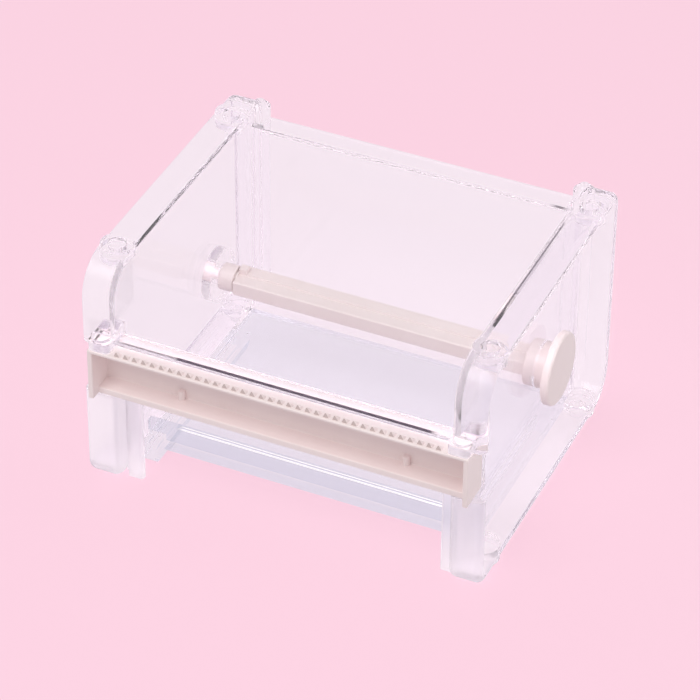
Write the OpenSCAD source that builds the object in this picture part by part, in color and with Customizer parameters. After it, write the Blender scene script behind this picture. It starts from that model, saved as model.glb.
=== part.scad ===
// Stackable desk dispenser for narrow decorative tape.
// Two rimmed clear side plates carry a clear back panel, a base tray, a front bar and a toothed cutter.
// A bar-shaped axle with a round knob pulls out to the right through the right-hand plate.
// Frame: X to the right, Y to the rear, Z up, in millimetres, with the origin on the table under the middle.

/* [Body] */
// Overall width, outside of one side plate to the outside of the other
body_w = 116.6; // [106:0.2:140]
// Depth of a side plate, front to rear
plate_d = 94; // [89:1:115]
// Height of a side plate, without its stacking pegs
plate_h = 70.5; // [66:0.5:90]
// Gap left by the cement between two clear panels
seam = 0.05; // [0.03:0.01:0.1]

/* [Side plates] */
// Thickness of the web, which lies at the inner side of the plate
web_t = 2; // [1.6:0.1:2.6]
// Width of the rim, across the plate, from the web's inner face outwards
rim_w = 9.5; // [9.4:0.1:10.5]
// Thickness of the rim in the plane of the plate
rim_t = 2.4; // [2.2:0.1:3]
// Rounding of the rim's two outer edges
rim_round = 2; // [0.8:0.1:2.1]
// Radius of the plate's front top corner
front_top_r = 12; // [8:1:16]
// Radius of the plate's rear top corner
rear_top_r = 5; // [3:0.5:6]
// Radius of the plate's front foot
front_foot_r = 4.5; // [3.5:0.5:6]
// Radius of the plate's rear foot
rear_foot_r = 11.5; // [6:0.5:12]
// Diameter of the round column at the rear inner edge
column_d = 6; // [5:0.5:7]
// Chamfer at the top of the column
column_chamfer = 1.8; // [0.4:0.1:2.2]
// Diameter of the round hub on the inner side of the left axle hole
hub_d = 15.8; // [12:0.2:18]
// Height of that hub above the web
hub_h = 2.7; // [1.5:0.1:4]

/* [Stacking] */
// Diameter of the round pads that thicken the rims at the sockets and pegs
pad_d = 9.3; // [7.5:0.1:9.4]
// Height of a pad, with the rim
pad_h = 4.6; // [4.4:0.1:7]
// Distance of the front pads from the plate's front edge
pad_front_in = 13.4; // [12.5:0.1:16]
// Distance of the rear pads from the plate's rear edge
pad_rear_in = 11.5; // [10:0.1:14]
// Diameter of the stacking socket in the top of a pad
socket_d = 5.2; // [4.4:0.1:6]
// Depth of the stacking socket
socket_depth = 3; // [2.5:0.1:3.2]
// Radial clearance of a stacking peg in a socket
peg_clear = 0.2; // [0.1:0.05:0.4]
// Height of the stacking pegs under the plates
peg_h = 2; // [1.2:0.1:2.4]
// Clearance of the tray's rails inside a lower unit's side plates
nest_clear = 0.2; // [0.1:0.05:0.4]

/* [Back panel] */
// Distance of the back panel's inner face from the plate's rear edge
back_in = 9.3; // [9.3:0.1:12]
// Thickness of the back panel
back_t = 2; // [1.6:0.1:2.2]
// Height of the back panel
back_h = 65.5; // [55:0.5:66]
// Depth of the panel's top flange
back_flange_d = 7.3; // [4:0.1:8]
// Thickness of the panel's top flange
back_flange_t = 2; // [1.6:0.1:3]

/* [Base tray] */
// Thickness of the tray's floor
floor_t = 2; // [1.6:0.1:3]
// Distance of the tray's front wall behind the plate's front edge
tray_setback = 18; // [16:0.5:24]
// Height of the tray's front wall
tray_lip_h = 8.8; // [6:0.1:12]
// Thickness of the tray's front wall
tray_lip_t = 2; // [1.6:0.1:3]
// Width of the joining rails along the tray's sides
rail_w = 4.6; // [3.6:0.1:6]
// Height of the rails above the table
rail_h = 6; // [5:0.1:8]
// Length of the rails' round noses in front of the front wall
rail_nose = 5.4; // [4:0.1:6]
// Distance of the rails' rear ends from the back panel
rail_rear_gap = 11.8; // [6:0.1:20]

/* [Front] */
// Width over which a plate is thickened round the end of the cutter
holder_w = 9.5; // [9.5:0.1:11.5]
// Thickness of the walls below and behind the end of the cutter
holder_t = 2; // [1.6:0.1:3]
// Distance of the upright ribs' inner edges from the outside of the plates
rib_w = 14; // [12.8:0.1:14.8]
// Thickness of the ribs, front to rear
rib_t = 2.3; // [2:0.1:3]
// Distance of the ribs from the plate's front edge
rib_in = 5.8; // [5:0.1:7]
// Rounding of the ribs' inner edges
rib_round = 0.9; // [0.4:0.1:0.9]
// Thickness of the clear front bar
bar_t = 1.5; // [1.2:0.1:2]
// Depth of the clear front bar
bar_d = 4.2; // [3:0.1:6]
// Thickness of the ears that reach forward over the ends of the cutter
ear_t = 3; // [2.4:0.1:4]
// Rounding of the ears' front corners
ear_round = 1.4; // [0.6:0.1:2]
// Distance of the ears' front edge behind the front of the cutter
ear_in = 0.3; // [0.2:0.1:1.5]
// Diameter of the low round boss on each ear
boss_d = 5.4; // [4:0.1:6]
// Height of that boss
boss_h = 0.8; // [0.4:0.1:1.2]
// Distance of the boss behind the front of the cutter
boss_in = 3.2; // [3:0.1:5]
// Distance of the boss from the end of the cutter
boss_side = 2.9; // [2.7:0.1:4]

/* [Cutter] */
// How far the cutter stands out in front of the side plates
cutter_out = 3.2; // [2:0.1:5]
// Depth of the cutter
cutter_d = 10; // [9:0.1:11]
// Height of the cutter's top above the plates' feet
cutter_top = 45.6; // [40:0.2:50]
// Height of the cutter at its front, without the teeth
cutter_h = 16.2; // [14:0.2:18]
// Thickness of the cutter's back wall
cutter_wall = 1.2; // [1:0.1:2.4]
// Thickness of the cutter's floor
cutter_floor = 2; // [0.8:0.1:2.6]
// Distance of the floor's front edge behind the front of the cutter
cutter_floor_in = 3.3; // [0.5:0.1:4]
// Thickness of the cutter's top flange
cutter_flange = 0.9; // [0.8:0.1:2]
// Thickness of the cutter's closed ends
cutter_end = 1.4; // [1.2:0.1:3]
// Distance of the cutter's ends from the outside of the plates
cutter_in = 3.2; // [2.4:0.1:3.8]
// Clearance round the ends of the cutter in their notches
notch_clear = 0.1; // [0.05:0.05:0.3]
// Number of teeth
tooth_count = 36; // [20:1:40]
// Width and length of a tooth at its foot
tooth_w = 1.8; // [1:0.1:2.2]
// Height of a tooth
tooth_h = 1.6; // [1:0.1:2.2]
// Distance of the teeth behind the front of the cutter
tooth_in = 0.7; // [0:0.1:1]
// Gap between the row of teeth and the ears
tooth_gap = 1.4; // [0.2:0.1:3]
// Diameter of the two small nubs on the cutter's floor
nub_d = 2; // [1.4:0.1:3]
// Height of those nubs
nub_h = 2.8; // [0.8:0.1:4]
// Distance between the two nubs
nub_spacing = 65.6; // [40:0.2:90]
// Distance of the middle between them to the right of the cutter's own
nub_shift = 1.7; // [0:0.1:4]

/* [Axle] */
// Distance of the axle from the plate's rear edge
axle_in = 33.8; // [31:0.1:41]
// Height of the axle above the plates' feet
axle_h = 31; // [26:0.5:36]
// Width of the axle's bar
rod_w = 8.4; // [7:0.1:9]
// Thickness of the axle's bar
rod_t = 5; // [4.4:0.1:6]
// Step along the middle of the bar's upper face
rod_step = 0.5; // [0.3:0.1:0.9]
// Diameter of the journal that runs in the right-hand plate
journal_d = 13.2; // [12.6:0.1:15]
// Length of the journal on the inner side of the plate
journal_in = 3; // [2:0.1:6]
// Diameter of the tip that runs in the left-hand plate
tip_d = 5.6; // [5:0.1:5.8]
// How far the tip stands out of the left-hand web
tip_out = 0.4; // [0.2:0.1:1.5]
// Radial clearance of the axle in its holes
run_clear = 0.1; // [0.05:0.01:0.1]
// End clearance between parts that turn on each other
end_clear = 0.3; // [0.2:0.05:0.5]
// Outside diameter of the bush on the tip
bush_d = 7.8; // [7.6:0.1:9]
// Length of the bush
bush_l = 4.5; // [3:0.1:6]
// Height of the key on the left end of the bar
key_h = 1.4; // [0.8:0.1:1.5]
// Length and width of the key
key_w = 2.5; // [1.6:0.1:3]
// Diameter of the knob
knob_d = 21; // [18:0.5:24]
// Thickness of the knob
knob_t = 2.4; // [2.2:0.1:2.5]
// Distance of the knob from the web
knob_gap = 3.2; // [2:0.1:3.3]
// Rounding of the knob's outer edge
knob_round = 0.8; // [0.4:0.1:1.2]
// Diameter of the spigot that holds the knob
spigot_d = 8; // [6:0.1:9]
// Length of the spigot
spigot_l = 1.4; // [1:0.1:1.5]

/* [Hidden] */
$fn = 64;

clear_colour = [0.93, 0.91, 0.97, 0.55];
cream_colour = [0.94, 0.88, 0.85];
// Depth by which joined solids of one piece run into each other
bite = 0.3;
// Width of a tooth's blunt tip, as a share of its foot
tooth_tip = 0.08;

// Outside and inside of the side plates, and the outer face of their webs
x_out = body_w / 2;
x_in = x_out - rim_w;
x_web = x_in + web_t;
// Front and rear of the side plates: the cutter stands out in front, and the whole is centred
y_front = cutter_out - (plate_d + cutter_out) / 2;
y_rear = y_front + plate_d;
// Underside and top of the side plates
z_foot = peg_h;
z_top = z_foot + plate_h;

pad_x = x_out - rim_w / 2;
pad_front_y = y_front + pad_front_in;
pad_rear_y = y_rear - pad_rear_in;
peg_d = socket_d - 2 * peg_clear;
column_y = y_rear - column_d / 2;

back_y = y_rear - back_in;
tray_y = y_front + tray_setback;
rail_front_y = tray_y - rail_nose;
rail_rear_y = back_y - rail_rear_gap;

holder_x = x_out - max(holder_w, rim_w);
rib_x = x_out - rib_w;
cutter_x = x_out - cutter_in;
cutter_front_y = y_front - cutter_out;
cutter_rear_y = cutter_front_y + cutter_d;
cutter_top_z = z_foot + cutter_top;
cutter_foot_z = cutter_top_z - cutter_h;
ear_z = cutter_top_z + notch_clear;
bar_z = ear_z + ear_t - bar_t;
tooth_span = 2 * (holder_x - tooth_gap) - tooth_w;
tooth_pitch = tooth_span / (tooth_count - 1);
tooth_y = cutter_front_y + tooth_in;
nub_y = cutter_rear_y - cutter_wall - nub_d / 2 + bite;

axle_y = y_rear - axle_in;
axle_z = z_foot + axle_h;
tip_x = -(x_web + tip_out);
bush_x = -(x_in - hub_h - end_clear);
rod_x = bush_x + bush_l + end_clear;
journal_x = x_in - journal_in;
knob_x = x_web + knob_gap;

// A rectangle with four corner radii, in the order front foot, rear foot, rear top, front top
module rounded_outline(w, h, radii) {
    difference() {
        square([w, h]);
        corner_cut(0, 0, 0, radii[0]);
        corner_cut(w, 0, 90, radii[1]);
        corner_cut(w, h, 180, radii[2]);
        corner_cut(0, h, 270, radii[3]);
    }
}

// What a round corner of radius r takes off a square corner at x, y, turned by a
module corner_cut(x, y, a, r) {
    translate([x, y]) rotate(a) difference() {
        translate([-1, -1]) square(r + 1);
        translate([r, r]) circle(r);
    }
}

// Lays a drawing of the plate's plane, front to rear and foot to top, along X from x with thickness t
module across(x, t) {
    translate([x, 0, 0]) rotate([90, 0, 90]) linear_extrude(t) children();
}

// Outline of a side plate, drawn in by inset all round
module plate_outline(inset) {
    radii = [front_foot_r - inset, rear_foot_r - inset, rear_top_r - inset, front_top_r - inset];
    translate([y_front + inset, z_foot + inset])
        rounded_outline(plate_d - 2 * inset, plate_h - 2 * inset, radii);
}

// Cross-section of the rim: thickness along x, width along y, with its two outer edges rounded
module rim_section() {
    difference() {
        square([rim_t, rim_w]);
        corner_cut(rim_t, 0, 90, rim_round);
        corner_cut(rim_t, rim_w, 180, rim_round);
    }
}

// A straight run of rim: at y, z, of length l, turned by a about X so that its outer side faces that way
module rim_run(y, z, l, a) {
    translate([x_in, y, z]) rotate([a, 0, 0]) rotate([90, 0, 90]) translate([-rim_t, 0, 0])
        rotate([90, 0, 0]) linear_extrude(l) rim_section();
}

// A quarter turn of rim round the centre y, z, starting at angle a from the rear
module rim_turn(y, z, r, a) {
    translate([x_in, y, z]) rotate([a, 0, 0]) rotate([90, 0, 90])
        rotate_extrude(angle = 90) translate([r - rim_t, 0]) rim_section();
}

// The rim all round a side plate: one run and one turn for each side
module rim() {
    rim_run(y_rear, z_top - rear_top_r, plate_h - rear_foot_r - rear_top_r, 0);
    rim_turn(y_rear - rear_top_r, z_top - rear_top_r, rear_top_r, 0);
    rim_run(y_front + front_top_r, z_top, plate_d - rear_top_r - front_top_r, 90);
    rim_turn(y_front + front_top_r, z_top - front_top_r, front_top_r, 90);
    rim_run(y_front, z_foot + front_foot_r, plate_h - front_top_r - front_foot_r, 180);
    rim_turn(y_front + front_foot_r, z_foot + front_foot_r, front_foot_r, 180);
    rim_run(y_rear - rear_foot_r, z_foot, plate_d - front_foot_r - rear_foot_r, 270);
    rim_turn(y_rear - rear_foot_r, z_foot + rear_foot_r, rear_foot_r, 270);
}

// The two pads of one place in the rim, one above the other, with the peg under the lower one
module pads(y) {
    for (z = [z_foot, z_top - pad_h]) translate([pad_x, y, z]) cylinder(d = pad_d, h = pad_h);
    translate([pad_x, y, 0]) cylinder(d = peg_d, h = peg_h + bite);
}

// The round column at the rear inner edge of a plate
module column() {
    difference() {
        translate([x_in, column_y, z_foot]) {
            cylinder(d = column_d, h = plate_h - column_chamfer);
            translate([0, 0, plate_h - column_chamfer])
                cylinder(d1 = column_d, d2 = column_d - 2 * column_chamfer, h = column_chamfer);
        }
        across(x_in - column_d, 2 * column_d) corner_cut(y_rear, z_foot, 90, rear_foot_r);
    }
}

// Plan of the rib below the cutter's rear, out to x
module rib_outline(x) {
    translate([rib_x, y_front + rib_in]) difference() {
        square([x - rib_x, rib_t]);
        corner_cut(0, 0, 0, rib_round);
        corner_cut(0, rib_t, 270, rib_round);
    }
}

// That rib: from the table, inside a lower unit's side plate, to the underside of the cutter
module rib() {
    linear_extrude(z_foot + bite) rib_outline(x_in - nest_clear);
    translate([0, 0, z_foot]) linear_extrude(cutter_foot_z - z_foot) rib_outline(x_in + bite);
}

// The walls round the end of the cutter, before the cutter's own room is cut from them
module holder() {
    rear = cutter_rear_y + notch_clear + holder_t;
    low = cutter_foot_z - notch_clear - holder_t;
    across(holder_x, cutter_x - holder_x) translate([y_front + rim_round, low])
        square([rear - y_front - rim_round, ear_z + ear_t - low]);
    ear();
    translate([cutter_x - boss_side, cutter_front_y + boss_in, ear_z + ear_t - bite])
        cylinder(d = boss_d, h = boss_h + bite);
}

// The ear that reaches forward over one end of the cutter
module ear() {
    w = cutter_x - holder_x;
    translate([holder_x, cutter_front_y + ear_in, ear_z]) linear_extrude(ear_t) difference() {
        square([w, cutter_out - ear_in + bar_d]);
        corner_cut(0, 0, 0, ear_round);
        corner_cut(w, 0, 90, ear_round);
    }
}

// Side view of the cutter, grown by g all round
module cutter_outline(g) {
    translate([cutter_front_y - g, cutter_foot_z - g]) square([cutter_d + 2 * g, cutter_h + 2 * g]);
}

// A right-hand side plate, before its axle hole
module plate_blank() {
    difference() {
        union() {
            rim();
            across(x_in, web_t) plate_outline(rim_t - bite);
            pads(pad_front_y);
            pads(pad_rear_y);
            column();
            rib();
            holder();
        }
        for (y = [pad_front_y, pad_rear_y])
            translate([pad_x, y, z_top - socket_depth]) cylinder(d = socket_d, h = socket_depth + 1);
        across(rib_x - 1, rib_w + 2) cutter_outline(notch_clear);
    }
}

// A bore along X from x, of length l, on the axle's line
module axle_bore(x, l, d) {
    translate([x, axle_y, axle_z]) rotate([0, 90, 0]) cylinder(d = d, h = l);
}

module left_side_plate() {
    color(clear_colour) mirror([1, 0, 0]) difference() {
        union() {
            plate_blank();
            axle_bore(x_in - hub_h, hub_h + bite, hub_d);
        }
        axle_bore(x_in - hub_h - 1, web_t + hub_h + 2, tip_d + 2 * run_clear);
    }
}

module right_side_plate() {
    color(clear_colour) difference() {
        plate_blank();
        axle_bore(x_in - 1, web_t + 2, journal_d + 2 * run_clear);
    }
}

// The back panel, with a flange to the rear along its top
module back_panel() {
    panel_x = x_in - seam;
    flange_x = x_in - column_d / 2 - seam;
    color(clear_colour) {
        translate([-panel_x, back_y, z_foot]) cube([2 * panel_x, back_t, back_h]);
        translate([-flange_x, back_y, z_foot + back_h - back_flange_t]) {
            cube([2 * flange_x, back_flange_d - back_flange_t / 2, back_flange_t]);
            translate([0, back_flange_d - back_flange_t / 2, back_flange_t / 2]) rotate([0, 90, 0])
                cylinder(d = back_flange_t, h = 2 * flange_x);
        }
    }
}

// One joining rail of the tray, with a round nose at the front and a round end at the rear
module rail() {
    across(x_in - nest_clear - rail_w, rail_w) {
        translate([rail_front_y + rail_h / 2, 0]) square([rail_rear_y - rail_front_y - rail_h, rail_h]);
        for (y = [rail_front_y + rail_h / 2, rail_rear_y - rail_h / 2])
            translate([y, rail_h / 2]) circle(d = rail_h);
    }
}

module base_tray() {
    half = x_in - seam;
    color(clear_colour) {
        translate([-half, tray_y, z_foot]) cube([2 * half, back_y - seam - tray_y, floor_t]);
        translate([-half, tray_y, z_foot]) cube([2 * half, tray_lip_t, tray_lip_h]);
        rail();
        mirror([1, 0, 0]) rail();
    }
}

// The clear bar over the cutter's top, behind the teeth
module front_bar() {
    half = holder_x - seam;
    color(clear_colour) translate([-half, y_front, bar_z]) cube([2 * half, bar_d, bar_t]);
}

// The hollow front of the cutter, drawn from the side: its floor stops short of the front
module channel_outline() {
    floor_y = cutter_front_y + cutter_floor_in;
    polygon([
        [cutter_front_y - 1, cutter_foot_z - 1],
        [floor_y, cutter_foot_z - 1],
        [floor_y, cutter_foot_z + cutter_floor],
        [cutter_rear_y - cutter_wall, cutter_foot_z + cutter_floor],
        [cutter_rear_y - cutter_wall, cutter_top_z - cutter_flange],
        [cutter_front_y - 1, cutter_top_z - cutter_flange]
    ]);
}

// A tooth with an upright front, tapered to a blunt tip from its rear and its two sides
module tooth() {
    linear_extrude(tooth_h, scale = tooth_tip) translate([-tooth_w / 2, 0]) square(tooth_w);
}

module cutter_bar() {
    hollow_x = cutter_x - cutter_end;
    color(cream_colour) {
        difference() {
            across(-cutter_x, 2 * cutter_x) cutter_outline(0);
            across(-hollow_x, 2 * hollow_x) channel_outline();
        }
        for (i = [0 : tooth_count - 1])
            translate([i * tooth_pitch - tooth_span / 2, tooth_y, cutter_top_z]) tooth();
        for (s = [-1, 1])
            translate([nub_shift + s * nub_spacing / 2, nub_y, cutter_foot_z + cutter_floor - bite])
                cylinder(d = nub_d, h = nub_h + bite);
    }
}

// Cross-section of the axle's bar, rear to the right: the rear half of its upper face stands higher
module rod_section() {
    translate([-rod_w / 2, -rod_t / 2]) square([rod_w, rod_t - rod_step]);
    translate([0, -rod_t / 2]) square([rod_w / 2, rod_t]);
}

module axle_shaft() {
    color(cream_colour) {
        axle_bore(tip_x, rod_x + bite - tip_x, tip_d);
        translate([0, axle_y, axle_z]) across(rod_x, journal_x + bite - rod_x) rod_section();
        translate([rod_x, axle_y, axle_z + rod_t / 2 - bite]) cube([key_w, key_w, key_h + bite]);
        axle_bore(journal_x, knob_x - journal_x, journal_d);
        axle_bore(knob_x - bite, spigot_l + bite, spigot_d);
    }
}

// The round knob: its outer edge is rounded, and its inner side has a blind bore for the spigot
module axle_knob() {
    color(cream_colour) translate([knob_x, axle_y, axle_z]) rotate([0, 90, 0]) difference() {
        rotate_extrude() {
            square([knob_d / 2, knob_t - knob_round]);
            square([knob_d / 2 - knob_round, knob_t]);
            translate([knob_d / 2 - knob_round, knob_t - knob_round]) circle(knob_round);
        }
        translate([0, 0, -1]) cylinder(d = spigot_d + 2 * seam, h = spigot_l + seam + 1);
    }
}

// The plain bush on the tip, which stops against the left-hand plate's hub
module axle_bush() {
    color(cream_colour) difference() {
        axle_bore(bush_x, bush_l, bush_d);
        axle_bore(bush_x - 1, bush_l + 2, tip_d + 2 * run_clear);
    }
}

left_side_plate();
right_side_plate();
back_panel();
base_tray();
front_bar();
cutter_bar();
axle_shaft();
axle_knob();
axle_bush();
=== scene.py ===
"""A stackable dispenser for narrow decorative tape.

Clear side plates, a toothed cream cutter and a pull-out axle.
"""

from math import cos, pi, radians, sin

import bmesh
import bpy
import numpy as np
from mathutils import Matrix, Vector


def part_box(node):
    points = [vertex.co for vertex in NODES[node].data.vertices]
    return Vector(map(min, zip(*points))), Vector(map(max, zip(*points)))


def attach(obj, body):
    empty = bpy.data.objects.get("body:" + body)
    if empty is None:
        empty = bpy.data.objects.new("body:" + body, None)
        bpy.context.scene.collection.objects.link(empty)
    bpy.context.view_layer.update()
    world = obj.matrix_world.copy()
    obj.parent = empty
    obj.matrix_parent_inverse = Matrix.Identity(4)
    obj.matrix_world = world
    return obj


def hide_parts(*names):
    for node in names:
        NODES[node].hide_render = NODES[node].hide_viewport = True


bl_info = {
    "name": "Stackable tape dispenser",
    "version": (1, 1, 0),
    "blender": (4, 5, 0),
    "location": "View3D > Sidebar > Dispenser",
    "description": "Dresses the dispenser's solids, builds its moulded pieces and sets its stage",
    "category": "Object",
}

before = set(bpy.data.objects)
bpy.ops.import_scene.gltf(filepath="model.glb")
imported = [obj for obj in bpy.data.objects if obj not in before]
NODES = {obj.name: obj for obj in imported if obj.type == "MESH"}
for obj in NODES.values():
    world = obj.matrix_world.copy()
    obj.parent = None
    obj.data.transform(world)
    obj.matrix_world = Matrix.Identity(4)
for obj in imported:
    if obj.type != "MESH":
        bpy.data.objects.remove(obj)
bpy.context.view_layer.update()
MM = 0.001
# Depth by which the shells of one opaque piece run into each other
BITE = 0.0003
# Distance within which points are merged, and length under which edges are removed
MERGE, SHORT = 1e-7, 1e-8
# Turn above which an edge is shaded as sharp
SHARP = radians(50.0)
# Face attribute of the teeth's upright fronts, which carry a painted shade, and how squarely such a face has
# to look to the front
PAINTED_SHADE_FRONTS = "fronts"
FRONT_FACING = 0.9
# Shares of a tooth's half width: at its blunt tip, and as the radius of its edges
TOOTH_TIP, TOOTH_ROUND = 0.12, 0.1
# Powers of the superellipses that a square and a round post follow
SQUARE, ROUND = 9.0, 2.0
# Radius at the rod's step, as a share of the radius of its other edges
STEP_ROUND = 0.4

# Scales of the noise on polished faces, of the patches in the cream and of its grain
POLISH, PATCHES, GRAIN = 160.0, 70.0, 1500.0
# Lowest and highest roughness that the noise gives, as shares of the set roughness
POLISH_RANGE, GRAIN_RANGE = (0.7, 1.5), (0.85, 1.15)
GRAIN_STRENGTH, GRAIN_HEIGHT = 0.12, 0.0002
CREAM_BEND = 1.5
# What is left of light that crosses clear plastic straight, and the ray depth above which all light does
CLEAR_LOSS = (0.95, 0.94, 0.96, 1.0)
DEEP_RAY = 5.5

# Edges and zones of the clear pieces that look different: the axis that each follows, the place where it
# starts, its length and its half width, these three in mm, and how strongly it shows. It shows fully within
# this share of its half width, and fades over this length at both ends, in metres.
EDGE_CORE = 0.7
EDGE_FADE = 0.0025
# Painted dark lines that stand in for the shade that refraction shows along edges, and a slight tone on the
# ears
PAINTED_DARK_EDGES = (
    (0, (-32.0, -45.2, 50.6), 77.5, 0.5, 1.0),
    (0, (-48.0, -45.2, 50.6), 20.0, 0.3, 0.8),
    (0, (-46.0, -45.4, 49.2), 92.0, 0.3, 0.8),
    (1, (50.6, -23.4, 72.5), 50.8, 0.28, 0.9),
    (0, (41.0, 39.4, 67.5), 6.5, 0.5, 0.9),
    (0, (46.5, -46.5, 52.0), 11.0, 5.0, 0.07),
    (0, (-57.5, -46.5, 52.0), 11.0, 5.0, 0.07),
)
# The plates' front feet and the curved fronts of their rims, which look frosted
FROSTED = (
    (2, (-53.5, -38.0, 53.0), 19.0, 9.5, 0.6),
    (2, (53.5, -38.0, 53.0), 19.0, 9.5, 0.6),
    (2, (-53.5, -41.0, -3.0), 36.0, 12.0, 1.0),
    (2, (53.5, -41.0, -3.0), 36.0, 12.0, 1.0),
)
# The tray's front foot, which looks as deep as the wall above it
DEEP_EDGES = (
    (0, (-53.0, -27.4, 0.8), 106.0, 4.6, 1.0),
)
# Painted highlights: white lines on the top of the tray's front wall, which also glow
PAINTED_HIGHLIGHTS = (
    (0, (-40.0, -27.4, 10.8), 82.0, 0.35, 1.0),
    (0, (-40.0, -26.3, 10.8), 82.0, 0.25, 0.8),
)

FLOOR_HALF = 6.0
# Size and place of each lamp, and the point that they look at
KEY_LAMP = (0.5, (-0.2, -0.55, 0.92))
FILL_LAMP = (0.8, (0.9, -0.1, 0.5))
LAMP_AIM = (0.0, 0.0, 0.03)
# Camera: sensor in mm, focal length and picture width in pixels, place, and its three turns
SENSOR = 36.0
FOCAL_PIXELS, WIDTH_PIXELS = 3533.0, 700.0
CAMERA_PLACE = (0.313567, -0.699837, 0.619320)
AZIMUTH, ELEVATION, ROLL = radians(24.14), radians(37.46), radians(0.48)
CAMERA_REACH = 50.0


def length(name, description, default):
    """A property for a length in metres."""
    return bpy.props.FloatProperty(name=name, description=description, subtype="DISTANCE", unit="LENGTH",
                                   min=0.0, precision=5, default=default)


def share(name, description, default):
    """A property for a share from nothing to all."""
    return bpy.props.FloatProperty(name=name, description=description, subtype="FACTOR", min=0.0, max=1.0,
                                   default=default)


def tint(name, description, default):
    """A property for a colour."""
    return bpy.props.FloatVectorProperty(name=name, description=description, subtype="COLOR", size=4,
                                         min=0.0, max=1.0, default=default)


class ClearPlasticSettings(bpy.types.PropertyGroup):
    """Finish of the clear pieces."""

    tint: tint("Tint", "Colour of the clear plastic", (0.985, 0.975, 0.995, 1.0))
    bar_tint: tint("Bar", "Colour of the front bar, which is deeper", (0.93, 0.92, 0.96, 1.0))
    tray_tint: tint("Tray", "Colour of the tray, which is deeper", (0.875, 0.90, 0.94, 1.0))
    tray_foot: tint("Tray foot", "Colour of the tray's front foot", (0.83, 0.86, 0.92, 1.0))
    # Colour of the painted dark lines, which stand in for refraction shade along edges
    dark: tint("Dark edges", "Colour of the dark edges", (0.02, 0.015, 0.025, 1.0))
    # Colour and glow of the painted highlights on the tray's wall, which glow though they are no lamp
    white: tint("White edges", "Colour of the white edges", (1.0, 1.0, 1.0, 1.0))
    painted_highlight_glow: share("White glow", "Light that the white edges gather and send out", 0.4)
    clearness: share("Clearness", "Share of light that goes through a surface", 0.97)
    bend: bpy.props.FloatProperty(
        name="Bend", description="Refraction index of the plastic", min=1.0, max=2.0, default=1.25)
    tray_bend: bpy.props.FloatProperty(
        name="Tray bend", description="Refraction index of the tray", min=1.0, max=2.0, default=1.1)
    gloss: share("Roughness", "Roughness of the polished faces", 0.04)
    frost: share("Frost", "Roughness of the plates' feet and of their rims' fronts", 0.45)


class CreamPlasticSettings(bpy.types.PropertyGroup):
    """Finish of the cutter and the axle."""

    tint: tint("Cutter", "Colour of the cutter's cream plastic", (0.96, 0.85, 0.838, 1.0))
    shade: tint("Cutter patches", "Its slightly deeper patches", (0.945, 0.825, 0.812, 1.0))
    # Painted shade: the teeth's upright fronts are darker, as if in shadow
    tooth: tint("Tooth fronts", "Colour of the teeth's upright fronts", (0.66, 0.55, 0.53, 1.0))
    # The axle's cream is a darker copy of the cutter's: a painted shade for the axle inside the box
    axle_tint_in_painted_shade: tint("Axle", "Colour of the axle's cream plastic", (0.85, 0.755, 0.748, 1.0))
    axle_patches_in_painted_shade: tint("Axle patches", "Its slightly deeper patches", (0.836, 0.733, 0.725, 1.0))
    gloss: share("Roughness", "Roughness of the moulded faces", 0.4)


class FrontBarSettings(bpy.types.PropertyGroup):
    """The clear bar behind the teeth."""

    corner: length("Corner", "Radius of the long edges", 0.00035)
    edge: length("Edge", "Radius round the two ends", 0.0001)


class CutterSettings(bpy.types.PropertyGroup):
    """The toothed bar."""

    wall: length("Wall", "Thickness of the rear wall", 0.0012)
    flange: length("Flange", "Thickness of the top flange", 0.0009)
    floor: length("Floor", "Thickness of the floor", 0.002)
    floor_in: length("Floor inset", "How far the floor stays behind the front", 0.0033)
    end: length("End", "Thickness of the end walls", 0.0014)
    corner: length("Corner", "Radius of the long edges", 0.0003)
    teeth: bpy.props.IntProperty(name="Teeth", description="Number of teeth", min=2, default=36)
    tooth_w: length("Tooth width", "Width of a tooth's foot", 0.0018)
    tooth_h: length("Tooth height", "Height of a tooth", 0.0016)
    tooth_in: length("Tooth inset", "How far the teeth stay behind the front", 0.0007)
    tooth_span: length("Tooth span", "From the first tooth's middle to the last one's", 0.093)
    nub_d: length("Nub", "Diameter of the two nubs on the floor", 0.002)
    nub_h: length("Nub height", "Height of the nubs", 0.0028)
    nub_spacing: length("Nub spacing", "Distance between the nubs", 0.0656)
    nub_shift: length("Nub shift", "How far the middle between the nubs is to the right", 0.0017)


class AxleSettings(bpy.types.PropertyGroup):
    """The pull-out axle with its knob and bush."""

    rod_w: length("Rod width", "Depth of the flat rod", 0.0084)
    rod_t: length("Rod height", "Height of the flat rod", 0.005)
    rod_step: length("Rod step", "Drop of the rod's front half", 0.0005)
    rod_gap: length("Rod gap", "Space between the bush and the rod", 0.0003)
    corner: length("Corner", "Radius of the rod's long edges", 0.0005)
    tip_d: length("Tip", "Diameter of the left tip", 0.0056)
    journal_d: length("Journal", "Diameter of the journal", 0.0132)
    journal_l: length("Journal length", "Length of the journal", 0.0082)
    spigot_d: length("Spigot", "Diameter of the spigot in the knob", 0.008)
    spigot_l: length("Spigot length", "Length of the spigot", 0.0014)
    seam: length("Seam", "Gap round the spigot", 0.00005)
    key_w: length("Key", "Width of the key on the rod", 0.0025)
    key_h: length("Key height", "Height of the key", 0.0014)
    knob_round: length("Knob round", "Radius of the knob's outer edge", 0.0008)
    bore_d: length("Bush bore", "Diameter of the bush's bore", 0.0058)
    edge: length("Edge", "Radius of the small edges", 0.0003)


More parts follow.
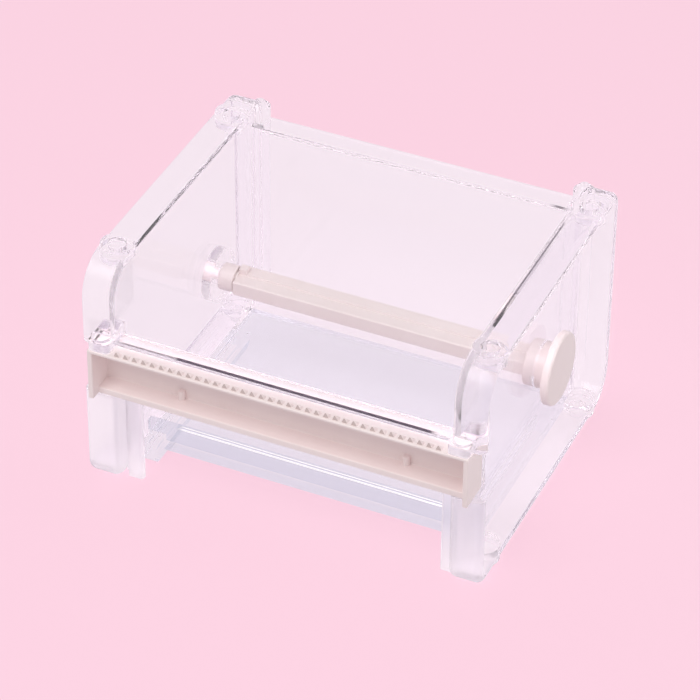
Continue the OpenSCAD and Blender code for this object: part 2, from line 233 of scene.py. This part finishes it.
class StageSettings(bpy.types.PropertyGroup):
    """Floor, light and camera."""

    floor_tint: tint("Floor", "Colour of the floor", (1.0, 0.672, 0.790, 1.0))
    card_tint: tint("Card", "Colour that the pieces show of what is around them", (0.945, 0.83, 0.89, 1.0))
    glow: share("Glow", "Share of the floor's light that does not depend on the lamps", 0.84)
    bounce: share("Bounce", "Share of that light that reaches other faces", 0.6)
    sky: bpy.props.FloatProperty(
        name="Sky", description="Strength of the even light all round", min=0, max=4, default=0.5)
    key: bpy.props.FloatProperty(
        name="Key", description="Power of the large soft lamp", subtype="POWER", min=0, default=4.4)
    fill: bpy.props.FloatProperty(
        name="Fill", description="Power of the lamp on the right", subtype="POWER", min=0, default=2.2)


def unit(vectors):
    """Vectors scaled to length one along their last axis."""
    return vectors / np.linalg.norm(vectors, axis=-1, keepdims=True)


def corner_pull(corners):
    """Inward shift of each corner of a counter-clockwise polygon per unit of inset, and +1 or -1 for a corner
    that bulges or dents. The shift is the sum of the two edges' left normals, divided by one plus their dot
    product."""
    ahead = unit(np.roll(corners, -1, axis=0) - corners)
    normal = np.stack([-ahead[:, 1], ahead[:, 0]], axis=-1)
    before = np.roll(normal, 1, axis=0)
    shift = (normal + before) / (1.0 + (normal * before).sum(axis=-1, keepdims=True))
    turn = before[:, 0] * normal[:, 1] - before[:, 1] * normal[:, 0]
    return shift, np.sign(turn)


def rounded(corners, radii, steps=6):
    """Outlines with an arc at each corner. With P the corner, A and B the points a tangent length away along
    its two edges and w the cosine of half the turn, the point at s from 0 to 1 is
    ((1-s)^2 A + 2ws(1-s) P + s^2 B) / ((1-s)^2 + 2ws(1-s) + s^2), which is a circle's arc."""
    corners = np.asarray(corners, dtype=float)
    radii = np.broadcast_to(np.asarray(radii, dtype=float), corners.shape[:-1])
    before = unit(np.roll(corners, 1, axis=-2) - corners)
    after = unit(np.roll(corners, -1, axis=-2) - corners)
    half = np.arccos(np.clip((before * after).sum(axis=-1), -1.0, 1.0)) / 2.0
    reach = (radii / np.tan(half))[..., None]
    s = np.linspace(0.0, 1.0, steps)[:, None]
    weight = np.sin(half)[..., None, None]
    middle = corners[..., None, :]
    start, end = (corners + before * reach)[..., None, :], (corners + after * reach)[..., None, :]
    first, second, third = (1.0 - s) ** 2, 2.0 * weight * s * (1.0 - s), s ** 2
    arcs = (first * start + second * middle + third * end) / (first + second + third)
    return arcs.reshape(corners.shape[:-2] + (-1, 2))


def quads(rows, columns, close_rows=False):
    """Faces of a grid of points that are numbered row by row. The last column joins the first one, and the
    last row does so where that is asked for."""
    i = np.arange(rows if close_rows else rows - 1)[:, None]
    j = np.arange(columns)[None, :]
    down, right = (i + 1) % rows, (j + 1) % columns
    return np.stack([i * columns + j, i * columns + right, down * columns + right, down * columns + j],
                    axis=-1).reshape(-1, 4)


def prism(corners, radius, x0, x1, edge, steps=5):
    """A rounded outline in Y and Z carried along X from x0 to x1. At turn a from 0 to 90 degrees the outline
    is inset by edge*(1 - sin a) and lies edge*(1 - cos a) in from each end. The last outlines are filled."""
    corners = np.asarray(corners, dtype=float)
    shift, bulge = corner_pull(corners)
    turn = np.linspace(0.0, pi / 2, steps)
    depth, pull = edge * (1.0 - np.cos(turn)), edge * (1.0 - np.sin(turn))
    x = np.concatenate([x0 + depth, (x1 - depth)[::-1]])
    pull = np.concatenate([pull, pull[::-1]])
    radii = np.maximum(radius - pull[:, None] * bulge, 0.0)
    rings = rounded(corners + pull[:, None, None] * shift, radii)
    rows, columns = rings.shape[:2]
    points = np.concatenate([np.broadcast_to(x[:, None, None], (rows, columns, 1)), rings], axis=-1)
    ends = [list(range(columns)), list(range((rows - 1) * columns, rows * columns))]
    return points.reshape(-1, 3), quads(rows, columns).tolist() + ends


def lathe(profile, centre, closed=False, count=72):
    """A profile of places x(s) and radii r(s) turned about a line along X through the centre (b, c):
    the point at s and t is (x(s), b + r(s) cos t, c + r(s) sin t)."""
    t = np.arange(count) * (2.0 * pi / count)
    x, r = profile[:, 0, None], profile[:, 1, None]
    points = np.stack([x + 0.0 * t, centre[0] + r * np.cos(t), centre[1] + r * np.sin(t)], axis=-1)
    return points.reshape(-1, 3), quads(len(profile), count, closed).tolist()


def drum(x0, x1, d, centre, edge):
    """A round bar along X: the lathe surface of a rectangle from the axis, its two outer corners rounded."""
    corners = [(x0, 0.0), (x0, d / 2.0), (x1, d / 2.0), (x1, 0.0)]
    return lathe(rounded(corners, (0.0, edge, edge, 0.0)), centre)


def studs(centres, profile, power, lean=0.0, count=24):
    """One small post on each centre. With heights z(s), half widths r(s) and the superellipse
    u(t) = (cos t, sin t) / (|cos t|^power + |sin t|^power)^(1/power), the point at s and t is
    the centre plus (r(s) u(t), z(s)), moved to the front by lean times z(s); power 2 gives a round post and a
    large power a square one."""
    t = np.arange(count) * (2.0 * pi / count)
    ring = np.stack([np.cos(t), np.sin(t)], axis=-1)
    ring = ring / (np.abs(ring) ** power).sum(axis=-1, keepdims=True) ** (1.0 / power)
    flat = profile[:, 1, None, None] * ring
    post = np.concatenate([flat, np.broadcast_to(profile[:, 0, None, None], flat.shape[:2] + (1,))], axis=-1)
    post[..., 1] -= lean * np.maximum(post[..., 2], 0.0)
    points = np.asarray(centres, dtype=float)[:, None, None, :] + post
    faces = quads(len(profile), count)
    faces = faces + (np.arange(len(centres)) * len(profile) * count)[:, None, None]
    return points.reshape(-1, 3), faces.reshape(-1, 4).tolist()


def piece(name, shells, mat, body):
    """An object of closed shells that replaces its node. Its double points are merged and its faces turned
    outwards."""
    starts = np.cumsum([0] + [len(points) for points, faces in shells])
    points = np.concatenate([points for points, faces in shells])
    faces = [[start + v for v in face] for start, (_, group) in zip(starts, shells) for face in group]
    mesh = bpy.data.meshes.new(name + "_visual")
    mesh.from_pydata(points.tolist(), [], faces)
    work = bmesh.new()
    work.from_mesh(mesh)
    bmesh.ops.remove_doubles(work, verts=work.verts, dist=MERGE)
    bmesh.ops.dissolve_degenerate(work, edges=work.edges, dist=SHORT)
    bmesh.ops.recalc_face_normals(work, faces=work.faces)
    work.to_mesh(mesh)
    work.free()
    mesh.polygons.foreach_set("use_smooth", np.ones(len(mesh.polygons), dtype=bool))
    mesh.set_sharp_from_angle(angle=SHARP)
    obj = bpy.data.objects.new(name + "_visual", mesh)
    bpy.context.scene.collection.objects.link(obj)
    even = obj.modifiers.new("even shading", "WEIGHTED_NORMAL")
    even.keep_sharp = True
    dress(obj, mat)
    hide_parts(name)
    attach(obj, body)
    return obj


def mark_painted_shade_fronts(mesh, above):
    """Sets the face attribute to 1 on the faces above a height that look to the front, and to 0 elsewhere;
    these faces get a painted shade.
    """
    normal, middle = np.empty(3 * len(mesh.polygons)), np.empty(3 * len(mesh.polygons))
    mesh.polygons.foreach_get("normal", normal)
    mesh.polygons.foreach_get("center", middle)
    front = (normal[1::3] < -FRONT_FACING) & (middle[2::3] > above)
    mesh.attributes.new(PAINTED_SHADE_FRONTS, "FLOAT", "FACE").data.foreach_set("value", front.astype(np.float32))


def shader_tree(name):
    """A new material with an empty node tree and its output node."""
    mat = bpy.data.materials.new(name)
    mat.use_nodes = True
    mat.node_tree.nodes.clear()
    out = mat.node_tree.nodes.new("ShaderNodeOutputMaterial")
    return mat, mat.node_tree.nodes, mat.node_tree.links, out


def noise_on(nodes, links, scale, detail=3.0):
    """Noise on Object coordinates; gives its output socket."""
    place = nodes.new("ShaderNodeTexCoord")
    noise = nodes.new("ShaderNodeTexNoise")
    noise.inputs["Scale"].default_value = scale
    noise.inputs["Detail"].default_value = detail
    links.new(place.outputs["Object"], noise.inputs["Vector"])
    return noise.outputs["Fac"]


def spread(nodes, links, socket, low, high, start=0.3, end=0.7):
    """A value mapped from start..end to low..high; gives the output socket."""
    node = nodes.new("ShaderNodeMapRange")
    for name, value in (("From Min", start), ("From Max", end), ("To Min", low), ("To Max", high)):
        node.inputs[name].default_value = value
    links.new(socket, node.inputs["Value"])
    return node.outputs["Result"]


def pair(nodes, links, operation, first, second):
    """Two values joined by a Math node; gives the output socket."""
    node = nodes.new("ShaderNodeMath")
    node.operation = operation
    links.new(first, node.inputs[0])
    links.new(second, node.inputs[1])
    return node.outputs[0]


def relief(nodes, links, socket, strength, distance):
    """A bump from a height; gives the normal's socket."""
    node = nodes.new("ShaderNodeBump")
    node.inputs["Strength"].default_value = strength
    node.inputs["Distance"].default_value = distance
    links.new(socket, node.inputs["Height"])
    return node.outputs["Normal"]


def edge_mask(nodes, links, edges):
    """How much each point lies on one of the listed edges: full near the edge, none beyond its half width,
    and fading towards both ends; gives the output socket."""
    place = nodes.new("ShaderNodeTexCoord").outputs["Object"]
    split = nodes.new("ShaderNodeSeparateXYZ")
    links.new(place, split.inputs["Vector"])
    total = None
    for axis, start, size, half, strength in edges:
        start, size, half = Vector(start) * MM, size * MM, half * MM
        flat, offset = Vector((1.0, 1.0, 1.0)), -start
        flat[axis] = offset[axis] = 0.0
        aside = nodes.new("ShaderNodeVectorMath")
        aside.operation = "MULTIPLY_ADD"
        links.new(place, aside.inputs[0])
        aside.inputs[1].default_value, aside.inputs[2].default_value = flat, offset
        far = nodes.new("ShaderNodeVectorMath")
        far.operation = "LENGTH"
        links.new(aside.outputs["Vector"], far.inputs[0])
        near = spread(nodes, links, far.outputs["Value"], strength, 0.0, half * EDGE_CORE, half)
        first, last = start[axis], start[axis] + size
        rise = spread(nodes, links, split.outputs[axis], 0.0, 1.0, first, first + EDGE_FADE)
        fall = spread(nodes, links, split.outputs[axis], 1.0, 0.0, last - EDGE_FADE, last)
        inside = pair(nodes, links, "MULTIPLY", pair(nodes, links, "MULTIPLY", near, rise), fall)
        total = inside if total is None else pair(nodes, links, "MAXIMUM", total, inside)
    return total


def shaded(nodes, links, colour, mask, other):
    """One colour where the mask is empty and another where it is full; gives the output socket."""
    blend = nodes.new("ShaderNodeMix")
    blend.data_type = "RGBA"
    links.new(mask, blend.inputs["Factor"])
    blend.inputs["A"].default_value = colour
    blend.inputs["B"].default_value = other
    return blend.outputs["Result"]


def clear_plastic(settings, name, body_tint, bend, tinted, painted_highlights):
    """Polished clear plastic that lamps shine through. Its tinted edges, a pair of a list and a colour, take
    that colour,
    which also tints what goes through them: on the plates and the bar these are painted dark lines of
    refraction shade, on the tray its deeper foot. Its painted highlights, white and opaque, glow though they
    are no lamp."""
    if name in bpy.data.materials:
        return bpy.data.materials[name]
    mat, nodes, links, out = shader_tree(name)
    body = nodes.new("ShaderNodeBsdfPrincipled")
    body.inputs["Transmission Weight"].default_value = settings.clearness
    # Painted dark lines of refraction shade on the plates and the bar, or the tray's deeper foot
    colour = shaded(nodes, links, body_tint, edge_mask(nodes, links, tinted[0]), tinted[1])
    # Painted highlights: where their mask is full the plastic is opaque, white and glowing
    if painted_highlights:
        mask = edge_mask(nodes, links, painted_highlights)
        plain, colour = colour, shaded(nodes, links, body_tint, mask, settings.white)
        links.new(plain, colour.node.inputs["A"])
        links.new(spread(nodes, links, mask, settings.clearness, 0.0, 0.0, 1.0),
                  body.inputs["Transmission Weight"])
        body.inputs["Emission Color"].default_value = settings.white
        links.new(spread(nodes, links, mask, 0.0, settings.painted_highlight_glow, 0.0, 1.0),
                  body.inputs["Emission Strength"])
    links.new(colour, body.inputs["Base Color"])
    body.inputs["IOR"].default_value = bend
    low, high = (settings.gloss * limit for limit in POLISH_RANGE)
    gloss = spread(nodes, links, noise_on(nodes, links, POLISH), low, high)
    frost = spread(nodes, links, edge_mask(nodes, links, FROSTED), 0.0, settings.frost, 0.0, 1.0)
    links.new(pair(nodes, links, "MAXIMUM", gloss, frost), body.inputs["Roughness"])
    through = nodes.new("ShaderNodeBsdfTransparent")
    through.inputs["Color"].default_value = CLEAR_LOSS
    path = nodes.new("ShaderNodeLightPath")
    deep = nodes.new("ShaderNodeMath")
    deep.operation = "GREATER_THAN"
    deep.inputs[1].default_value = DEEP_RAY
    links.new(path.outputs["Ray Depth"], deep.inputs[0])
    mix = nodes.new("ShaderNodeMixShader")
    straight = pair(nodes, links, "MAXIMUM", path.outputs["Is Shadow Ray"], deep.outputs[0])
    links.new(straight, mix.inputs["Fac"])
    links.new(body.outputs["BSDF"], mix.inputs[1])
    links.new(through.outputs["BSDF"], mix.inputs[2])
    links.new(mix.outputs["Shader"], out.inputs["Surface"])
    return mat


def panel_plastic(settings):
    """The clear plastic of the plates and the back panel."""
    return clear_plastic(settings, "polished_clear", settings.tint, settings.bend,
                         (PAINTED_DARK_EDGES, settings.dark), ())


def bar_plastic(settings):
    """The clear plastic of the front bar."""
    return clear_plastic(settings, "polished_bar", settings.bar_tint, settings.bend,
                         (PAINTED_DARK_EDGES, settings.dark), ())


def tray_plastic(settings):
    """The clear plastic of the tray."""
    return clear_plastic(settings, "polished_tray", settings.tray_tint, settings.tray_bend,
                         (DEEP_EDGES, settings.tray_foot), PAINTED_HIGHLIGHTS)


def cream_plastic(settings, name, body_tint, shade):
    """Satin cream plastic with slightly deeper patches, a fine moulded grain and a painted shade on the faces
    that the piece's face attribute marks."""
    if name in bpy.data.materials:
        return bpy.data.materials[name]
    mat, nodes, links, out = shader_tree(name)
    body = nodes.new("ShaderNodeBsdfPrincipled")
    patches = spread(nodes, links, noise_on(nodes, links, PATCHES), 0.0, 1.0)
    plain = shaded(nodes, links, body_tint, patches, shade)
    # Painted shade on the faces that the attribute marks, the teeth's fronts
    deep = nodes.new("ShaderNodeAttribute")
    deep.attribute_name = PAINTED_SHADE_FRONTS
    colour = shaded(nodes, links, body_tint, deep.outputs["Fac"], settings.tooth)
    links.new(plain, colour.node.inputs["A"])
    links.new(colour, body.inputs["Base Color"])
    body.inputs["IOR"].default_value = CREAM_BEND
    grain = noise_on(nodes, links, GRAIN)
    low, high = (settings.gloss * limit for limit in GRAIN_RANGE)
    links.new(spread(nodes, links, grain, low, high), body.inputs["Roughness"])
    links.new(relief(nodes, links, grain, GRAIN_STRENGTH, GRAIN_HEIGHT), body.inputs["Normal"])
    links.new(body.outputs["BSDF"], out.inputs["Surface"])
    return mat


def cutter_plastic(settings):
    """The cream plastic of the cutter and the knob."""
    return cream_plastic(settings, "satin_cutter", settings.tint, settings.shade)


def axle_plastic_in_painted_shade(settings):
    """The cream plastic of the axle and its bush, darker than the cutter's as a painted shade."""
    return cream_plastic(settings, "satin_axle", settings.axle_tint_in_painted_shade, settings.axle_patches_in_painted_shade)


def dress(obj, mat):
    """Gives a mesh object one material."""
    obj.data.materials.clear()
    obj.data.materials.append(mat)


class DISPENSER_OT_clear_panels(bpy.types.Operator):
    """Finish the side plates, the back panel and the tray"""

    bl_idname = "dispenser.clear_panels"
    bl_label = "Clear panels"

    def execute(self, context):
        mat = panel_plastic(context.scene.dispenser_clear)
        for name in ("left_side_plate", "right_side_plate", "back_panel"):
            dress(NODES[name], mat)
        dress(NODES["base_tray"], tray_plastic(context.scene.dispenser_clear))
        return {"FINISHED"}


class DISPENSER_OT_front_bar(bpy.types.Operator):
    """Build the clear bar behind the teeth"""

    bl_idname = "dispenser.front_bar"
    bl_label = "Front bar"

    def execute(self, context):
        settings = context.scene.dispenser_bar
        (x0, y0, z0), (x1, y1, z1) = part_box("front_bar")
        bar = prism([(y0, z0), (y1, z0), (y1, z1), (y0, z1)], settings.corner, x0, x1, settings.edge)
        piece("front_bar", [bar], bar_plastic(context.scene.dispenser_clear), "frame")
        return {"FINISHED"}


class DISPENSER_OT_cutter(bpy.types.Operator):
    """Build the toothed bar"""

    bl_idname = "dispenser.cutter"
    bl_label = "Cutter"

    def execute(self, context):
        settings = context.scene.dispenser_cutter
        (x0, y0, z0), (x1, y1, tips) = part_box("cutter_bar")
        z1 = tips - settings.tooth_h
        lip, back = y0 + settings.floor_in, y1 - settings.wall
        floor, roof = z0 + settings.floor, z1 - settings.flange
        channel = prism([(lip, z0), (y1, z0), (y1, z1), (y0, z1), (y0, roof), (back, roof), (back, floor),
                         (lip, floor)], settings.corner, x0 + BITE, x1 - BITE, BITE)
        ends = [prism([(y0, z0), (y1, z0), (y1, z1), (y0, z1)], 2.0 * settings.corner, at, at + settings.end,
                      settings.corner) for at in (x0, x1 - settings.end)]
        row = np.linspace(-0.5, 0.5, settings.teeth) * settings.tooth_span
        half, high = settings.tooth_w / 2.0, settings.tooth_h
        feet = np.stack([row, row * 0.0 + y0 + settings.tooth_in + half, row * 0.0 + z1], axis=-1)
        tooth = rounded([(-BITE, 0.0), (-BITE, half), (0.0, half), (high, half * TOOTH_TIP), (high, 0.0)],
                        half * TOOTH_ROUND * np.array([0.0, 0.0, 1.0, 1.0, 0.0]), 4)
        teeth = studs(feet, tooth, SQUARE, half / high)
        half, high = settings.nub_d / 2.0, settings.nub_h
        sides = settings.nub_shift + np.array([-0.5, 0.5]) * settings.nub_spacing
        spots = np.stack([sides, sides * 0.0 + back - half + BITE, sides * 0.0 + floor], axis=-1)
        nub = rounded([(-BITE, 0.0), (-BITE, half), (high, half), (high, 0.0)],
                      (0.0, 0.0, settings.corner, 0.0), 5)
        shells = [channel] + ends + [teeth, studs(spots, nub, ROUND)]
        mat = cutter_plastic(context.scene.dispenser_cream)
        mark_painted_shade_fronts(piece("cutter_bar", shells, mat, "frame").data, z1)
        return {"FINISHED"}


class DISPENSER_OT_axle(bpy.types.Operator):
    """Build the axle, its knob and its bush"""

    bl_idname = "dispenser.axle"
    bl_label = "Axle"

    def execute(self, context):
        settings = context.scene.dispenser_axle
        mat = axle_plastic_in_painted_shade(context.scene.dispenser_cream)
        (tip, y0, z0), (spigot_end, y1, z1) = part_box("axle_shaft")
        (bush0, *_), (bush1, *_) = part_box("axle_bush")
        (knob0, *_), (knob1, knob_y, _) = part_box("axle_knob")
        centre = y, z = (y0 + y1) / 2.0, (z0 + z1) / 2.0
        edge, rod0 = settings.edge, bush1 + settings.rod_gap
        rod1 = knob0 - settings.journal_l

        w, t, step = settings.rod_w / 2.0, settings.rod_t / 2.0, settings.rod_step
        radii = settings.corner * np.array([1.0, 1.0, 1.0, STEP_ROUND, STEP_ROUND, 1.0])
        rod = prism([(y - w, z - t), (y + w, z - t), (y + w, z + t), (y, z + t), (y, z + t - step),
                     (y - w, z + t - step)], radii, rod0, rod1 + BITE, edge)
        key = prism([(y, z + t - BITE), (y + settings.key_w, z + t - BITE),
                     (y + settings.key_w, z + t + settings.key_h), (y, z + t + settings.key_h)], edge,
                    rod0, rod0 + settings.key_w, edge)
        shaft = [drum(tip, rod0 + BITE, settings.tip_d, centre, edge), rod, key,
                 drum(rod1, knob0, settings.journal_d, centre, edge),
                 drum(knob0 - BITE, spigot_end, settings.spigot_d, centre, edge)]
        piece("axle_shaft", shaft, mat, "axle")

        bore, deep = settings.spigot_d / 2.0 + settings.seam, knob0 + settings.spigot_l + settings.seam
        rim = knob_y - y
        disc = rounded([(deep, 0.0), (deep, bore), (knob0, bore), (knob0, rim), (knob1, rim), (knob1, 0.0)],
                       (0.0, 0.0, 0.0, edge, settings.knob_round, 0.0))
        knob_mat = cutter_plastic(context.scene.dispenser_cream)
        piece("axle_knob", [lathe(disc, centre)], knob_mat, "axle")

        inner, outer = settings.bore_d / 2.0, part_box("axle_bush")[1][1] - y
        tube = rounded([(bush0, inner), (bush1, inner), (bush1, outer), (bush0, outer)], edge)
        piece("axle_bush", [lathe(tube, centre, closed=True)], mat, "bush")
        return {"FINISHED"}


class DISPENSER_OT_stage(bpy.types.Operator):
    """Set the floor, the lamps, the sky and the camera"""

    bl_idname = "dispenser.stage"
    bl_label = "Stage"

    def execute(self, context):
        settings = context.scene.dispenser_stage
        mesh = bpy.data.meshes.new("floor")
        half = FLOOR_HALF
        mesh.from_pydata([(-half, -half, 0), (half, -half, 0), (half, half, 0), (-half, half, 0)], [],
                         [(0, 1, 2, 3)])
        floor = bpy.data.objects.new("floor", mesh)
        context.scene.collection.objects.link(floor)
        mat, nodes, links, out = shader_tree("floor")
        path = nodes.new("ShaderNodeLightPath")
        seen = shaded(nodes, links, settings.card_tint, path.outputs["Is Camera Ray"], settings.floor_tint)
        paint = nodes.new("ShaderNodeBsdfDiffuse")
        glow = nodes.new("ShaderNodeEmission")
        links.new(spread(nodes, links, path.outputs["Is Diffuse Ray"], 1.0, settings.bounce, 0.0, 1.0),
                  glow.inputs["Strength"])
        mix = nodes.new("ShaderNodeMixShader")
        mix.inputs["Fac"].default_value = settings.glow
        for shader in (paint, glow):
            links.new(seen, shader.inputs["Color"])
        links.new(paint.outputs["BSDF"], mix.inputs[1])
        links.new(glow.outputs["Emission"], mix.inputs[2])
        links.new(mix.outputs["Shader"], out.inputs["Surface"])
        dress(floor, mat)

        world = bpy.data.worlds.new("sky")
        context.scene.world = world
        world.use_nodes = True
        nodes, links = world.node_tree.nodes, world.node_tree.links
        nodes.clear()
        path = nodes.new("ShaderNodeLightPath")
        light = nodes.new("ShaderNodeBackground")
        light.inputs["Color"].default_value = (1.0, 1.0, 1.0, 1.0)
        light.inputs["Strength"].default_value = settings.sky
        card = nodes.new("ShaderNodeBackground")
        card.inputs["Color"].default_value = settings.card_tint
        mix = nodes.new("ShaderNodeMixShader")
        bent = pair(nodes, links, "MAXIMUM", path.outputs["Is Transmission Ray"],
                    path.outputs["Is Glossy Ray"])
        links.new(pair(nodes, links, "MAXIMUM", bent, path.outputs["Is Camera Ray"]), mix.inputs["Fac"])
        links.new(light.outputs["Background"], mix.inputs[1])
        links.new(card.outputs["Background"], mix.inputs[2])
        links.new(mix.outputs["Shader"], nodes.new("ShaderNodeOutputWorld").inputs["Surface"])

        for name, power, (size, place) in (("key", settings.key, KEY_LAMP),
                                           ("fill", settings.fill, FILL_LAMP)):
            data = bpy.data.lights.new(name, "AREA")
            data.size, data.energy = size, power
            lamp = bpy.data.objects.new(name, data)
            lamp.location = place
            aim = Vector(LAMP_AIM) - lamp.location
            lamp.rotation_euler = aim.to_track_quat("-Z", "Y").to_euler()
            context.scene.collection.objects.link(lamp)

        data = bpy.data.cameras.new("camera")
        data.sensor_width = SENSOR
        data.lens = SENSOR * FOCAL_PIXELS / WIDTH_PIXELS
        data.clip_end = CAMERA_REACH
        camera = bpy.data.objects.new("camera", data)
        level = cos(ELEVATION)
        back = Vector((sin(AZIMUTH) * level, -cos(AZIMUTH) * level, sin(ELEVATION)))
        right = Vector((cos(AZIMUTH), sin(AZIMUTH), 0.0))
        up = back.cross(right)
        across = cos(ROLL) * right + sin(ROLL) * up
        upright = cos(ROLL) * up - sin(ROLL) * right
        turn = Matrix((across, upright, back)).transposed().to_4x4()
        camera.matrix_world = Matrix.Translation(CAMERA_PLACE) @ turn
        context.scene.collection.objects.link(camera)
        context.scene.camera = camera
        context.scene.view_settings.view_transform = "Standard"
        return {"FINISHED"}


class DISPENSER_PT_panel(bpy.types.Panel):
    """The dispenser's settings and steps."""

    bl_label = "Dispenser"
    bl_idname = "DISPENSER_PT_panel"
    bl_space_type = "VIEW_3D"
    bl_region_type = "UI"
    bl_category = "Dispenser"

    def draw(self, context):
        for step in STEPS:
            self.layout.operator(step.bl_idname)
        for name, group in SETTINGS.items():
            box = self.layout.box()
            for field in group.__annotations__:
                box.prop(getattr(context.scene, name), field)


SETTINGS = {
    "dispenser_clear": ClearPlasticSettings,
    "dispenser_cream": CreamPlasticSettings,
    "dispenser_bar": FrontBarSettings,
    "dispenser_cutter": CutterSettings,
    "dispenser_axle": AxleSettings,
    "dispenser_stage": StageSettings,
}
STEPS = (DISPENSER_OT_stage, DISPENSER_OT_clear_panels, DISPENSER_OT_front_bar, DISPENSER_OT_cutter,
         DISPENSER_OT_axle)
CLASSES = tuple(SETTINGS.values()) + STEPS + (DISPENSER_PT_panel,)


def register():
    for cls in CLASSES:
        bpy.utils.register_class(cls)
    for name, group in SETTINGS.items():
        setattr(bpy.types.Scene, name, bpy.props.PointerProperty(type=group))


def unregister():
    for name in SETTINGS:
        delattr(bpy.types.Scene, name)
    for cls in reversed(CLASSES):
        bpy.utils.unregister_class(cls)


def main():
    register()
    bpy.ops.dispenser.stage()
    bpy.ops.dispenser.clear_panels()
    bpy.ops.dispenser.front_bar()
    bpy.ops.dispenser.cutter()
    bpy.ops.dispenser.axle()


if __name__ == "__main__":
    main()
